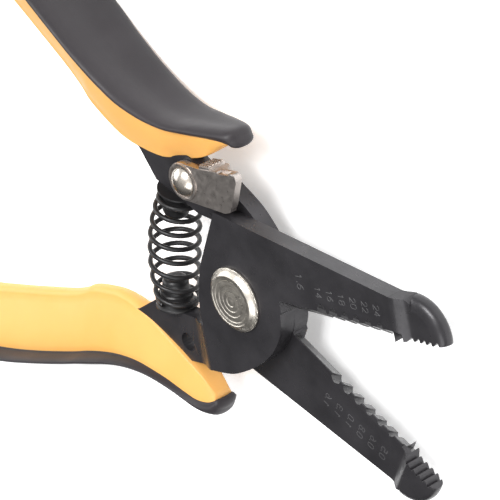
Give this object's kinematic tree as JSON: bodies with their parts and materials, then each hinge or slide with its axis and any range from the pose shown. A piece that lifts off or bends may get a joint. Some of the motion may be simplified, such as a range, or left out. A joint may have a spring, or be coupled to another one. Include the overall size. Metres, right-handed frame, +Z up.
{
  "type": "wire stripper",
  "caption": "Scissor-type wire stripper with riveted crossing blades, stripping notches, serrated nose, return spring, lock lever and dipped two-colour handles, lying flat and open.",
  "frame": {"origin": "on the surface the tool lies on, below the middle of the open tool's bounding box, midway between the two handles", "axes": "+X towards the jaw tips, +Y towards the upper jaw and handle, +Z up along the pivot's axis, out of the face that carries the rivet's turned head"},
  "size_m": [0.1526, 0.11, 0.0156],
  "materials": {
    "steel": "black oxide, satin",
    "plated": "bright nickel plate",
    "spring": "blackened spring wire",
    "core": "satin yellow-orange moulding",
    "grip": "soft matt grip"
  },
  "bodies": {
    "front_half": {"front_blade": "steel", "pivot_rivet": "plated", "pivot_washer": "plated", "lower_spring_seat": "spring", "lower_handle_core": "core", "lower_grip": "grip", "compression_spring": "spring"},
    "rear_half": {"rear_blade": "steel", "upper_spring_seat": "spring", "lock_rivet": "plated", "lock_washer": "plated", "upper_handle_core": "core", "upper_grip": "grip"},
    "lock": {"lock_lever": "plated"}
  },
  "joints": [
    {"name": "handle_pivot", "type": "hinge", "parent": "front_half", "child": "rear_half", "pos_m": [0.0288, 0, 0.0078], "axis": [0, 0, 1], "range_deg": [0, 33.5], "stiffness_Nm_per_rad": 0.35, "springref_deg": -11.46, "deforming": ["compression_spring"]},
    {"name": "lock_swing", "type": "hinge", "parent": "rear_half", "child": "lock", "pos_m": [0.01492, 0.01735, 0.0078], "axis": [0, 0, 1], "range_deg": [0, 6]}
  ]
}
